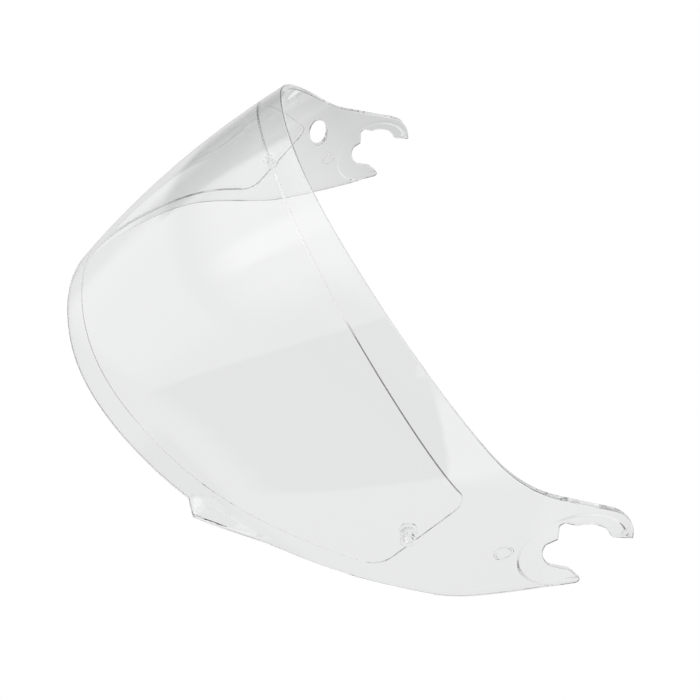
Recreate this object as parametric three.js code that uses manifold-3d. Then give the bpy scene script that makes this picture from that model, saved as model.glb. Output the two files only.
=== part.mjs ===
// Clear face shield for a motorcycle helmet: one moulded polycarbonate shell with hook-shaped arms,
// a shallow recess inside for an anti-fog insert, and two turning pins that grip that insert.
// Millimetres. The origin is midway between the two pivot seats, +X is the wearer's left,
// -Y is the way the wearer looks and +Z is up.
import * as THREE from "three";
import { mergeVertices } from "three/addons/utils/BufferGeometryUtils.js";
import Module from "manifold-3d";

const wasm = await Module();
wasm.setup();

// Overall sizes of the shell
const pivotSpan = 237;
const frontReach = 125;
const bottomDrop = 96;
const hookRise = 19.7;
const armSplay = THREE.MathUtils.degToRad(11.3);
const bulgeSagitta = 4.2;
const wall = 2.2;
const overrun = 4;

// Shell edges: control points of a smooth curve from the centre line back to the hook, as shares of
// half the pivot span, the front reach and the bottom drop
const bottomEdgeShares = [
  [0, -0.994, -1.006],
  [0.31, -0.96, -0.975],
  [0.628, -0.73, -0.896],
  [0.832, -0.512, -0.718],
  [0.949, -0.146, -0.561],
  [1.042, 0.093, -0.203],
  [0.989, 0.595, 0.651],
];
const topEdgeShares = [
  [0, -0.885, 0.072],
  [0.43, -0.833, 0.094],
  [0.666, -0.653, 0.069],
  [0.847, -0.457, 0.049],
  [0.938, -0.285, 0.042],
  [0.98, -0.085, 0.186],
  [1.105, 0.356, 0.394],
];
const edgeSpans = bottomEdgeShares.length - 2;

// Shares of the way from the centre line to the hook: where the arm turns flat, and where the bulge ends
const armFlatShares = [0.76, 0.9];
const bulgeEndShare = 1.03;

// Where the flat sheet ends behind the hook, before it is trimmed
const sheetEndShare = 2;

// Mesh steps
const rowsAlongHalf = 26;
const rowsAcross = 8;
const recessRowsAcross = 6;
const extensionRows = 2;
const arcSteps = 14;
const probeShare = 0.001;

// Hook: a seat for the helmet's round pivot boss, a lock notch, a snap ridge and a lower lip
const seatRadius = 11.7;
const fingerEndAngles = [51, 61].map(THREE.MathUtils.degToRad);
const seatUpperAngle = THREE.MathUtils.degToRad(149);
const seatLowerAngles = [212, 278].map(THREE.MathUtils.degToRad);
const notchDepth = 3.3;
const notchAngles = [163, 170].map(THREE.MathUtils.degToRad);
const ridgeHeight = 2.6;
const ridgeAngle = THREE.MathUtils.degToRad(192);
const lipReach = 17.9;
const lipRise = 9;
const lipStart = 8.6;
const lipEndDrop = 1.9;
const lipCorner = 1.6;

// Round pocket in the inner face, round the seat
const pocketRadius = 19.5;
const pocketDepth = 0.6;
const pocketAhead = 1.4;
const pocketBelow = 2.5;

// Recess for the anti-fog insert, inside the face
const recessDepth = 0.7;
const recessBottomMargin = 7.9;
const recessTopMargin = 8.4;
const recessTopGrowth = 11.7;
const recessGrowthPower = 1.2;
const recessCorner = 6;
const recessCornerSteps = 5;
const recessBeyondPin = 3.8;

// Eccentric pins and their caps
const pinAlongShare = 0.69;
const pinAcrossShare = 0.4;
const pinHoleRadius = 1.6;
const shankRadius = 1.5;
const pinEccentricity = 0.5;
const seatFlangeRadius = 2.8;
const seatFlangeHeight = 0.6;
const neckRadius = 1.8;
const neckHeight = 1.2;
const headRadius = 2.9;
const headHeight = 0.8;
const headCrown = 0.2;
const capRadius = 2.7;
const capHeight = 1.5;
const capFloor = 0.7;
const capEdge = 0.3;
const capSlotWidth = 0.7;
const capSlotDepth = 0.4;
const restGap = 0.3;
const capBoreClearance = 0.08;
const pinSegments = 28;

// Slot through the wearer's right arm
const slotLength = 17;
const slotWidth = 8.4;
const slotBehind = -37;
const slotBelow = -9.5;
const slotTilt = THREE.MathUtils.degToRad(-36);

// Lift tab on the bottom edge, on the wearer's left
const tabShares = [0.411, 0.55];
const tabPeakShare = 0.436;
const tabTaperPower = 1.4;
const tabReach = 6.5;
const tabRootHeight = 3.8;
const tabLipHeight = 1.5;
const tabSteps = [3, 9];

// Raised ring, a plain moulding mark on the inner face of each arm
const markRadius = 3.4;
const markBand = 0.7;
const markHeight = 0.35;
const markBehind = -17;
const markBelow = -18.5;

const halfSpan = pivotSpan / 2;
const edgeSizes = [halfSpan, frontReach, bottomDrop];
const bottomPoints = bottomEdgeShares.map(sizedPoint);
const topPoints = topEdgeShares.map(sizedPoint);

const clearPlastic = new THREE.MeshStandardMaterial({
  color: 0xeef1f2,
  roughness: 0.05,
  metalness: 0,
  transparent: true,
  opacity: 0.35,
});
const pinPlastic = new THREE.MeshStandardMaterial({ color: 0xdfe3e4, roughness: 0.25, metalness: 0 });

function sizedPoint(shares) {
  return new THREE.Vector3(...shares.map((share, axis) => share * edgeSizes[axis]));
}

function smooth(from, to, value) {
  return THREE.MathUtils.smoothstep(value, from, to);
}

// Point of a uniform cubic B-spline at a share of its length; the curve is mirrored about x = 0
function splinePoint(points, share) {
  const mirrored = points[1].clone().setX(-points[1].x);
  const all = [mirrored, ...points];
  const place = Math.min(share, 1) * edgeSpans;
  const first = Math.min(Math.floor(place), edgeSpans - 1);
  const t = place - first;
  const weights = [(1 - t) ** 3, 3 * t ** 3 - 6 * t ** 2 + 4, -3 * t ** 3 + 3 * t ** 2 + 3 * t + 1, t ** 3];
  const point = new THREE.Vector3();
  weights.forEach((weight, k) => point.addScaledVector(all[first + k], weight / 6));
  return point;
}

function edgePoints(along) {
  const share = Math.abs(along);
  return [splinePoint(bottomPoints, share), splinePoint(topPoints, share)];
}

// Level direction that points out of the wall, square to the edges in plan
function planNormal(along) {
  const share = Math.min(Math.abs(along), 1 - probeShare);
  const [bottomA, topA] = edgePoints(share);
  const [bottomB, topB] = edgePoints(share + probeShare);
  const run = bottomB.add(topB).sub(bottomA).sub(topA);
  return new THREE.Vector3(run.y, -run.x, 0).normalize();
}

// Outer surface of the shell. along runs from -1, the right hook, over 0, the centre line, to 1,
// the left hook; past 1 the arm carries on flat. across runs from 0 at the bottom edge to 1 at the top.
function outerPoint(along, across) {
  const share = Math.abs(along);
  const [bottom, top] = edgePoints(share);
  const point = bottom.clone().lerp(top, across);
  const bulge = bulgeSagitta * Math.cos(Math.PI / 2 * Math.min(share / bulgeEndShare, 1)) ** 2;
  point.addScaledVector(planNormal(share), bulge * 4 * across * (1 - across));
  if (share > 1) point.addScaledVector(armExtension(across), share - 1);
  const flat = smooth(...armFlatShares, share);
  const armX = halfSpan + point.y * Math.tan(armSplay);
  point.x = THREE.MathUtils.lerp(point.x, armX, flat);
  if (along < 0) point.x = -point.x;
  return point;
}

// How far the flat sheet runs on behind the hook before it is trimmed
function armExtension(across) {
  const low = new THREE.Vector3(0, seatRadius + overrun, -overrun);
  const high = new THREE.Vector3(0, hookRise + overrun, seatRadius);
  return low.lerp(high, across);
}

function outwardNormal(along, across) {
  const low = Math.max(across - probeShare, 0);
  const high = Math.min(across + probeShare, 1);
  const rise = outerPoint(along, high).sub(outerPoint(along, low));
  const run = outerPoint(along + probeShare, across).sub(outerPoint(along - probeShare, across));
  return run.cross(rise).normalize();
}

function surfacePoint(along, across, depth) {
  return outerPoint(along, across).addScaledVector(outwardNormal(along, across), -depth);
}

function heightAt(along) {
  const [bottom, top] = edgePoints(along);
  return bottom.distanceTo(top);
}

// Millimetres of surface for a whole share along the shell
function lengthPerShare(along, across) {
  return outerPoint(along + probeShare, across).distanceTo(outerPoint(along, across)) / probeShare;
}

// Closed body between two faces of the shell. rowsAt lists the places across at a place along it, and
// depthAt gives the depth of a point of the outer face, 0, or of the inner face, 1.
function slab(places, rowsAt, depthAt) {
  const vertices = [];
  const triangles = [];
  const steps = rowsAt(0).length - 1;
  const last = places.length - 1;
  for (const face of [0, 1])
    for (const along of places)
      rowsAt(along).forEach((across, row) =>
        vertices.push(...surfacePoint(along, across, depthAt(face, along, row)).toArray()));
  const at = (face, i, j) => (face * places.length + i) * (steps + 1) + j;
  const quad = (a, b, c, d) => triangles.push(a, b, c, a, c, d);
  for (let i = 0; i < last; i++) {
    for (let j = 0; j < steps; j++) {
      quad(at(0, i, j), at(0, i + 1, j), at(0, i + 1, j + 1), at(0, i, j + 1));
      quad(at(1, i, j), at(1, i, j + 1), at(1, i + 1, j + 1), at(1, i + 1, j));
    }
    quad(at(0, i, 0), at(1, i, 0), at(1, i + 1, 0), at(0, i + 1, 0));
    quad(at(0, i, steps), at(0, i + 1, steps), at(1, i + 1, steps), at(1, i, steps));
  }
  for (let j = 0; j < steps; j++) {
    quad(at(0, 0, j), at(0, 0, j + 1), at(1, 0, j + 1), at(1, 0, j));
    quad(at(0, last, j), at(1, last, j), at(1, last, j + 1), at(0, last, j + 1));
  }
  const geometry = new THREE.BufferGeometry();
  geometry.setAttribute("position", new THREE.Float32BufferAttribute(vertices, 3));
  geometry.setIndex(triangles);
  return toSolid(geometry);
}

// A closed geometry, placed by a matrix, as a body that can be joined and cut
function toSolid(geometry, matrix = new THREE.Matrix4()) {
  const placed = geometry.clone().applyMatrix4(matrix);
  for (const name of Object.keys(placed.attributes)) if (name !== "position") placed.deleteAttribute(name);
  const merged = mergeVertices(placed);
  const triVerts = new Uint32Array(merged.index.array);
  if (matrix.determinant() < 0)
    for (let i = 0; i < triVerts.length; i += 3)
      [triVerts[i + 1], triVerts[i + 2]] = [triVerts[i + 2], triVerts[i + 1]];
  const vertProperties = new Float32Array(merged.attributes.position.array);
  return new wasm.Manifold(new wasm.Mesh({ numProp: 3, vertProperties, triVerts }));
}

function toGeometry(solid) {
  const mesh = solid.getMesh();
  const geometry = new THREE.BufferGeometry();
  geometry.setAttribute("position", new THREE.BufferAttribute(new Float32Array(mesh.vertProperties), 3));
  geometry.setIndex(new THREE.BufferAttribute(new Uint32Array(mesh.triVerts), 1));
  geometry.computeVertexNormals();
  return geometry;
}

// Frame of an arm's flat outer face: x rearward, y up and z outward, centred on the pivot axis
function armFrame(side) {
  const rearward = new THREE.Vector3(side * Math.sin(armSplay), Math.cos(armSplay), 0);
  const up = new THREE.Vector3(0, 0, 1);
  const outward = new THREE.Vector3(side * Math.cos(armSplay), -Math.sin(armSplay), 0);
  return new THREE.Matrix4().makeBasis(rearward, up, outward).setPosition(side * halfSpan, 0, 0);
}

// A flat outline on an arm, extruded from one distance inside the outer face to another
function armPrism(shape, side, fromDepth, toDepth) {
  const geometry = new THREE.ExtrudeGeometry(shape, {
    depth: fromDepth - toDepth,
    bevelEnabled: false,
    curveSegments: arcSteps,
  });
  geometry.translate(0, 0, -fromDepth);
  return toSolid(geometry, armFrame(side));
}

function polar(radius, angle) {
  return [radius * Math.cos(angle), radius * Math.sin(angle)];
}

// Everything behind and inside the hook that is trimmed off the sheet
function hookCutShape() {
  const [lowEnd, highEnd] = [0, 1].map((across) => outerPoint(sheetEndShare, across));
  const behind = Math.max(lowEnd.y, highEnd.y) + 2 * overrun;
  const above = Math.max(hookRise, highEnd.z) + overrun;
  const low = Math.min(-lipRise - lipEndDrop, lowEnd.z) - overrun;
  const topStart = Math.acos(-seatRadius / 2 / hookRise);
  const shape = new THREE.Shape();
  shape.moveTo(...polar(hookRise, topStart));
  shape.absarc(0, 0, hookRise, topStart, fingerEndAngles[0], true);
  shape.lineTo(...polar(seatRadius + lipCorner / 2, fingerEndAngles[1]));
  shape.absarc(0, 0, seatRadius, fingerEndAngles[1] + lipCorner / seatRadius, seatUpperAngle, false);
  shape.lineTo(...polar(seatRadius + notchDepth, notchAngles[0]));
  shape.lineTo(...polar(seatRadius + notchDepth, notchAngles[1]));
  shape.lineTo(...polar(seatRadius - ridgeHeight, ridgeAngle));
  shape.absarc(0, 0, seatRadius, seatLowerAngles[0], seatLowerAngles[1], false);
  shape.lineTo(lipStart, -lipRise + lipCorner / 4);
  shape.lineTo(lipReach - lipCorner, -lipRise);
  shape.quadraticCurveTo(lipReach, -lipRise, lipReach, -lipRise - lipCorner);
  shape.lineTo(lipReach - lipCorner / 4, low);
  shape.lineTo(behind, low);
  shape.lineTo(behind, above);
  shape.lineTo(polar(hookRise, topStart)[0], above);
  return shape;
}

function pocketShape() {
  return new THREE.Shape().absarc(pocketAhead, -pocketBelow, pocketRadius, 0, 2 * Math.PI, false);
}

// Oblong with round ends, centred and turned on the arm
function slotShape() {
  const reach = (slotLength - slotWidth) / 2;
  const end = new THREE.Vector2(...polar(reach, slotTilt));
  const shape = new THREE.Shape();
  for (const way of [1, -1]) {
    const start = slotTilt - way * Math.PI / 2;
    shape.absarc(slotBehind + way * end.x, slotBelow + way * end.y, slotWidth / 2, start, start + Math.PI);
  }
  return shape;
}

function markShape() {
  const shape = new THREE.Shape().absarc(markBehind, markBelow, markRadius, 0, 2 * Math.PI, false);
  const hole = new THREE.Path().absarc(markBehind, markBelow, markRadius - markBand, 0, 2 * Math.PI, true);
  shape.holes.push(hole);
  return shape;
}

function recessEndShare() {
  return pinAlongShare + recessBeyondPin / lengthPerShare(pinAlongShare, pinAcrossShare);
}

// Rows of the recess from its bottom to its top at a place along the shell, with round rear corners
function recessRows(along) {
  const share = Math.abs(along);
  const height = heightAt(share);
  const cornerShare = recessCorner / lengthPerShare(pinAlongShare, pinAcrossShare);
  const into = THREE.MathUtils.clamp((share - recessEndShare()) / cornerShare + 1, 0, 1);
  const lift = recessCorner * (1 - Math.sqrt(1 - into ** 2));
  const low = (recessBottomMargin + lift) / height;
  const high = 1 - (recessTopMargin + recessTopGrowth * share ** recessGrowthPower + lift) / height;
  const rows = [];
  for (let j = 0; j <= recessRowsAcross; j++)
    rows.push(THREE.MathUtils.lerp(low, high, j / recessRowsAcross));
  return rows;
}

function recessPlaces() {
  const end = recessEndShare();
  const straightEnd = end - recessCorner / lengthPerShare(pinAlongShare, pinAcrossShare);
  const half = [];
  const rows = Math.round(rowsAlongHalf * straightEnd);
  for (let i = 1; i <= rows; i++) half.push(straightEnd * i / rows);
  for (let i = 1; i <= recessCornerSteps; i++) {
    const turn = Math.PI / 2 * i / recessCornerSteps;
    half.push(THREE.MathUtils.lerp(straightEnd, end, Math.sin(turn)));
  }
  return [...half.map((share) => -share).reverse(), 0, ...half];
}

// Places along the whole sheet, closer together over the tab
function sheetPlaces() {
  const half = [];
  for (let i = 1; i <= rowsAlongHalf; i++) half.push(i / rowsAlongHalf);
  for (let i = 1; i <= extensionRows; i++)
    half.push(THREE.MathUtils.lerp(1, sheetEndShare, i / extensionRows));
  const clearOfTab = half.filter((share) => share < tabShares[0] || share > tabShares[1]);
  const overTab = [];
  for (let i = 0; i < tabSteps[0]; i++)
    overTab.push(THREE.MathUtils.lerp(tabShares[0], tabPeakShare, i / tabSteps[0]));
  for (let i = 0; i <= tabSteps[1]; i++)
    overTab.push(THREE.MathUtils.lerp(tabPeakShare, tabShares[1], i / tabSteps[1]));
  const left = [...clearOfTab, ...overTab].sort((a, b) => a - b);
  return [...half.map((share) => -share).reverse(), 0, ...left];
}

// Rows of the sheet: the bottom edge, the tab's lip and root, then evenly on to the top edge
function sheetRows(along) {
  const height = heightAt(along);
  const root = tabRootHeight / height;
  const rows = [0, tabLipHeight / height];
  for (let j = 0; j <= rowsAcross; j++) rows.push(THREE.MathUtils.lerp(root, 1, j / rowsAcross));
  return rows;
}

// Ledge for the thumb: the outer face swells along the bottom edge, most near the tab's front end
function sheetDepth(face, along, row) {
  if (face === 1) return wall;
  const rising = (along - tabShares[0]) / (tabPeakShare - tabShares[0]);
  const falling = (tabShares[1] - along) / (tabShares[1] - tabPeakShare);
  const swell = Math.min(Math.max(rising, 0), Math.max(falling, 0) ** tabTaperPower);
  return row < 2 ? -tabReach * swell : 0;
}

// Frame of a pin: z along its shank, outward, with the origin on the floor of the recess
function pinFrame(side) {
  const along = side * pinAlongShare;
  const outward = outwardNormal(along, pinAcrossShare);
  const floor = surfacePoint(along, pinAcrossShare, wall - recessDepth);
  const up = new THREE.Vector3(0, 0, 1).addScaledVector(outward, -outward.z).normalize();
  const rearward = up.clone().cross(outward);
  return new THREE.Matrix4().makeBasis(rearward, up, outward).setPosition(floor);
}

// Turned solid about z from [radius, height] pairs that start and end on the axis
function turned(profile, offset = 0) {
  const points = profile.map(([radius, height]) => new THREE.Vector2(radius, height));
  const geometry = new THREE.LatheGeometry(points, pinSegments);
  geometry.rotateX(Math.PI / 2);
  geometry.translate(0, offset, 0);
  return toSolid(geometry);
}

function pinHole() {
  const reach = wall + overrun;
  return turned([[0, -reach], [pinHoleRadius, -reach], [pinHoleRadius, reach], [0, reach]]);
}

// Shank through the wall, and inside it a spool set off its axis that grips the insert's edge
function pinBody() {
  const seat = -restGap;
  const neckTop = seat - seatFlangeHeight;
  const headTop = neckTop - neckHeight;
  const headEnd = headTop - headHeight;
  const spool = turned([
    [0, headEnd],
    [headRadius - headCrown, headEnd],
    [headRadius, headEnd + headCrown],
    [headRadius, headTop],
    [neckRadius, headTop],
    [neckRadius, neckTop],
    [seatFlangeRadius, neckTop],
    [seatFlangeRadius, seat],
    [0, seat],
  ], pinEccentricity);
  const shankEnd = wall - recessDepth + capHeight - capFloor;
  const shank = turned([[0, neckTop], [shankRadius, neckTop], [shankRadius, shankEnd], [0, shankEnd]]);
  return spool.add(shank);
}

// Cap pressed on the shank's outer end, with a slot for turning the pin
function pinCap() {
  const base = wall - recessDepth + restGap;
  const boreEnd = base + capHeight - capFloor;
  const boreRadius = shankRadius + capBoreClearance;
  const top = base + capHeight;
  const body = turned([[0, boreEnd], [boreRadius, boreEnd], [boreRadius, base], [capRadius, base],
    [capRadius, top - capEdge], [capRadius - capEdge, top], [0, top]]);
  const slotBox = new THREE.BoxGeometry(2 * capRadius + overrun, capSlotWidth, capSlotDepth + overrun);
  slotBox.translate(0, 0, top - capSlotDepth + (capSlotDepth + overrun) / 2);
  return body.subtract(toSolid(slotBox));
}

function visorShell() {
  const recessFloor = wall - recessDepth;
  const recess = slab(recessPlaces(), recessRows, (face) => (face === 0 ? recessFloor : wall + overrun));
  let shell = slab(sheetPlaces(), sheetRows, sheetDepth).subtract(recess);
  for (const side of [-1, 1]) {
    shell = shell.subtract(armPrism(hookCutShape(), side, wall + overrun, -overrun));
    shell = shell.subtract(armPrism(pocketShape(), side, wall + overrun, wall - pocketDepth));
    shell = shell.subtract(placed(pinHole(), pinFrame(side)));
    shell = shell.add(armPrism(markShape(), side, wall + markHeight, wall - markHeight));
  }
  return shell.subtract(armPrism(slotShape(), -1, wall + 3 * overrun, -overrun));
}

function placed(solid, matrix) {
  return toSolid(toGeometry(solid), matrix);
}

function named(name, solid, material) {
  const mesh = new THREE.Mesh(toGeometry(solid), material);
  mesh.name = name;
  return mesh;
}

// A pin and its cap, set in the wall on one side
function pinAssembly(sideName, side) {
  const group = new THREE.Group();
  group.add(named(sideName + "_eccentric_pin", pinBody(), pinPlastic));
  group.add(named(sideName + "_pin_cap", pinCap(), pinPlastic));
  group.applyMatrix4(pinFrame(side));
  return group;
}

const visor = new THREE.Group();
visor.add(named("visor_shell", visorShell(), clearPlastic));
visor.add(pinAssembly("left", 1));
visor.add(pinAssembly("right", -1));

export default visor;
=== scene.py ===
# Looks of a clear motorcycle helmet visor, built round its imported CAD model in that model's own frame.
# Lengths are in millimetres until a mesh is made, which is in metres. A place on the shell is given by two
# shares: u runs from -1 at the right hook through 0 in the middle of the face to 1 at the left hook, and
# v from 0 on the bottom edge to 1 on the top edge.
import math

import bmesh
import bpy
import numpy as np
from mathutils import Matrix, Vector
from mathutils.geometry import delaunay_2d_cdt


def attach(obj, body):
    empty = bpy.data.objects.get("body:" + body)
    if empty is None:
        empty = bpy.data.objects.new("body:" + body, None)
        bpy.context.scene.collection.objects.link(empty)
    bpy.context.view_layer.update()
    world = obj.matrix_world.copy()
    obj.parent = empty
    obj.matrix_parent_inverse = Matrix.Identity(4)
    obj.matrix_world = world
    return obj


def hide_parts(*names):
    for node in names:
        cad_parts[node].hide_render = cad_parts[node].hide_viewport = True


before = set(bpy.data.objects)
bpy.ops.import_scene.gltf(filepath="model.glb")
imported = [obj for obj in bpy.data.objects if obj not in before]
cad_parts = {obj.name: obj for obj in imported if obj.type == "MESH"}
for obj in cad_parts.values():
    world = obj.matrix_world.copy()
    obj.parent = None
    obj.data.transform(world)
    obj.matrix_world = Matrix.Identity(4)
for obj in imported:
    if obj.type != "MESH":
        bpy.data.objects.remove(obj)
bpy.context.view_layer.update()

MM = 0.001

# Main sizes of the shell, as the CAD model has them
HALF_SPAN = 118.5
FRONT_REACH = 125
BOTTOM_DROP = 96
HOOK_RISE = 19.7
SPLAY = math.radians(11.3)
SAGITTA = 4.2
BULGE_END_SHARE = 1.03
ARM_FLAT_SHARES = [0.76, 0.9]
WALL = 2.2

# Control points of the two edges, as shares of the half span, the reach and the drop
BOTTOM_EDGE_SHARES = [
    [0, -0.994, -1.006],
    [0.31, -0.96, -0.975],
    [0.628, -0.73, -0.896],
    [0.832, -0.512, -0.718],
    [0.949, -0.146, -0.561],
    [1.042, 0.093, -0.203],
    [0.989, 0.595, 0.651],
]
TOP_EDGE_SHARES = [
    [0, -0.885, 0.072],
    [0.43, -0.833, 0.094],
    [0.666, -0.653, 0.069],
    [0.847, -0.457, 0.049],
    [0.938, -0.285, 0.042],
    [0.98, -0.085, 0.186],
    [1.105, 0.356, 0.394],
]
EDGE_SIZES = [HALF_SPAN, FRONT_REACH, BOTTOM_DROP]
BOTTOM = np.array(BOTTOM_EDGE_SHARES) * EDGE_SIZES
TOP = np.array(TOP_EDGE_SHARES) * EDGE_SIZES

# How the edges run on past u = 1: rearward and up for each further share
EXTENSION_LOW = np.array([15.7, -4])
EXTENSION_HIGH = np.array([23.7, 11.7])

# Steps of u and v over which slopes are taken: of the sheet, of an arm, and of the faces' small features
PROBE_SHARE = 1e-3
ARM_PROBE_SHARE = 1e-4
FINE_PROBE_SHARE = 2e-6

# The search for the shares of a place in an arm's plane
ARM_START_SHARE = 0.6
ARM_U_SHARES = (ARM_START_SHARE, 2.2)
ARM_V_SHARES = (-0.3, 1.3)
GUESS_FOOT = -12
GUESS_HEIGHT = 31
SEARCH_ROUNDS = 40
OFF_ARM = 50.0

# Places along the bottom and the top edge among which the hook's ends are sought
FOOT_SEARCH_SHARES = np.linspace(0.9, 1.6, 400)
TOP_SEARCH_SHARES = np.linspace(0.8, 1.2, 800)

# Hook, pocket, slot and mark, in the plane of an arm: rearward and up from the pivot
SEAT_RADIUS = 11.7
FINGER_END = [math.radians(51), math.radians(61)]
SEAT_UPPER = math.radians(149)
SEAT_LOWER = [math.radians(212), math.radians(278)]
NOTCH_DEPTH = 3.3
NOTCH = [math.radians(163), math.radians(170)]
RIDGE_HEIGHT = 2.6
RIDGE = math.radians(192)
LIP_REACH = 17.9
LIP_RISE = 9
LIP_START = 8.6
LIP_CORNER = 1.6
LIP_CHAMFER_SHARE = 0.3
HOOK_BEND = 1.0
HOOK_STEP = 0.45
FOOT_RUN_SHARE = 0.05
POCKET_RADIUS = 19.5
POCKET_DEPTH = 0.6
POCKET_STEP_WIDTH = 1.3
POCKET_CENTRE = (1.4, -2.5)
POCKET_SWEEP = [math.radians(75), math.radians(300)]
SLOT_LENGTH = 18.1
SLOT_WIDTH = 9
SLOT_CENTRE = (-37.1, -10.1)
SLOT_TILT = math.radians(-28)
MARK_CENTRE = (-17, -18.5)
MARK_RADIUS = 3.4
MARK_BAND = 0.7
MARK_HEIGHT = 0.5
MARK_SLOPE = 0.15

# Recess for the anti-fog insert
RECESS_DEPTH = 0.7
RECESS_BOTTOM = 7.9
RECESS_TOP = 8.4
RECESS_GROWTH = 11.7
RECESS_POWER = 1.2
RECESS_CORNER = 6
RECESS_BEYOND_PIN = 3.8
STEP_WIDTH = 0.8
END_STEP_WIDTH = 0.2
END_STEP_RANGE = [8, 3]

# Pins
PIN_ALONG_SHARE = 0.69
PIN_ACROSS_SHARE = 0.4
PIN_HOLE = 1.6
SHANK_RADIUS = 1.5
PIN_OFFSET = 0.5
FLANGE_RADIUS = 2.8
FLANGE_HEIGHT = 0.6
NECK_RADIUS = 1.8
NECK_HEIGHT = 1.2
HEAD_RADIUS = 2.9
HEAD_HEIGHT = 0.8
HEAD_CROWN = 0.2
HEAD_DISH = 0.3
DISH_SHARE = 0.45
CAP_RADIUS = 2.7
CAP_HEIGHT = 1.5
CAP_FLOOR = 0.7
CAP_EDGE = 0.3
CAP_CROWN = 0.2
CAP_SLOT_WIDTH = 0.7
CAP_SLOT_DEPTH = 0.4
CUTTER_REACH_SHARE = 1.2
REST_GAP = 0.3
BORE_CLEARANCE = 0.08
PIN_FILLET = 0.15
SLOT_FILLET = 0.06
FILLET_SEGMENTS = 3
FILLET_ANGLE = math.radians(40)
SHARP_ANGLE = math.radians(35)

# Tab on the bottom edge: its ends and its peak along u, and its root and lip above the edge
TAB_SHARES = [0.411, 0.55]
TAB_PEAK_SHARE = 0.436
TAB_POWER = 1.4
TAB_REACH = 6.5
TAB_ROOT = 3.8
TAB_LIP = 1.5
TAB_THICKNESS = 1.0
TAB_STEEPNESS = 5
TAB_INNER_CREASE_SHARE = 0.3
TAB_EASE = 0.06
TAB_TAIL_EASE = 0.03
TAB_CREASE_EASE = 0.05
TAB_LIP_EASE = 0.1

# Mesh: rims, how close the points lie, and how many there are on each line
RIM_RADIUS = 0.5
HOLE_RIM_RADIUS = 0.2
RIM_STEPS = 6
GRID_STEP = 2.4
POINT_GAP = 0.8
POINT_BATCH = 400
WELD = 1e-5
EDGE_POINTS = 340
HOOK_GAP_SHARE = 0.006
SEAT_POINTS = 40
FINGER_POINTS = 50
RING_POINTS = 40
SLOT_POINTS = 64
PIN_HOLE_POINTS = 40
PIN_POINTS = 72
BEND_POINTS = 7
LEAST_TURN = math.radians(12)
LONGEST_CUT_SHARE = 0.45
RECESS_RUN_POINTS = 120
RECESS_TURN_POINTS = 14
RECESS_STEP_SHARES = np.linspace(-0.15, 1.15, 10)
RECESS_ROUNDS = 5
TAB_EDGE_POINTS = 100
TAB_EDGE_MARGIN_SHARE = 0.01
TAB_LINE_POINTS = 90
TAB_LINE_MARGIN_SHARE = 0.008
TAB_HEIGHTS = np.linspace(0.75, TAB_ROOT + 1, 18)
POCKET_LINES = 7
POCKET_POINTS = 160
MARK_LINES = 4
MARK_POINTS = 49

# Materials: the volume's absorption is per metre, and noise within a range gives the wear and the grain
SHELL_IOR = 1.585
SHELL_GREY = (0.5, 0.505, 0.51, 1)
SHELL_ABSORPTION = 10
SHELL_FACING = (0.995, 0.998, 1, 1)
# Painted shade: the shell's colour where it is seen edge on, greyer than where it faces the view
SHELL_EDGE_SHADE = (0.9, 0.905, 0.91, 1)
GRAZING_POWER = 5
SHELL_WEAR = 0.03
WEAR_NOISE = [0.45, 0.75]
PIN_IOR = 1.5
PIN_TINTS = [(0.985, 0.99, 0.99, 1), (1, 1, 0.995, 1)]
PIN_ROUGHNESS = [0.02, 0.07]
GRAIN_NOISE = [0.3, 0.7]
PIN_BUMP = 0.15
PIN_BUMP_DEPTH = 0.03
WHITE = (1, 1, 1, 1)

# Studio: how bright the room is in the plastic's mirror images. Then, beside the white floor, how bright it
# is seen through the plastic, what dark walls take from that, what a light overhead adds, and the painted
# shade that makes the floor darker some way off, for rays that come through the plastic
ROOM = 0.75
THROUGH = 0.83
WALL_LOSS = 0.65
OVERHEAD_GAIN = 0.5
# Painted shade on the floor, seen through the plastic: how much darker, and where it starts and ends
FLOOR_PAINTED_SHADE = 0.13
FLOOR_SHADE_START = [300, 650]
FLOOR_SHADE_END = [2400, 1200]
FLOOR_REACH = 3000
FLOOR_HEIGHT = -97
LIGHT_BOUNCES = 48

# Camera, fitted to the photo
LENS = 43.714
SENSOR = 36
CLIP_START = 10
CAMERA_PLACE = Vector((231.25, -269.01, 80.16))
CAMERA_RIGHT = Vector((0.27378989, 0.61762605, 0.73727685))
CAMERA_DOWN = Vector((0.72123247, 0.37529268, -0.58221914))
CAMERA_FORWARD = Vector((-0.63628831, 0.69115372, -0.34270062))


# The shell's surface
def smoothstep(low, high, value):
    t = np.clip((value - low) / (high - low), 0, 1)
    return t * t * (3 - 2 * t)


def soft_ramp(value, ease):
    """The value where it is above nothing, with the kink eased."""
    return (value + np.sqrt(value * value + ease * ease)) / 2


def soft_least(a, b, ease):
    """The lesser of the two, with the kink eased."""
    return (a + b - np.sqrt((a - b) ** 2 + ease * ease)) / 2


def unit(vectors):
    return vectors / np.linalg.norm(vectors, axis=1, keepdims=True)


def spline(points, share):
    """Points of a uniform cubic B-spline, mirrored about x = 0, at shares of its length."""
    control = np.vstack([points[1] * [-1, 1, 1], points])
    spans = len(points) - 2
    place = np.minimum(share, 1) * spans
    first = np.minimum(place.astype(int), spans - 1)
    t = place - first
    weights = [(1 - t) ** 3, 3 * t**3 - 6 * t**2 + 4, -3 * t**3 + 3 * t**2 + 3 * t + 1, t**3]
    return sum(w[:, None] * control[first + k] for k, w in enumerate(weights)) / 6


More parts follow.
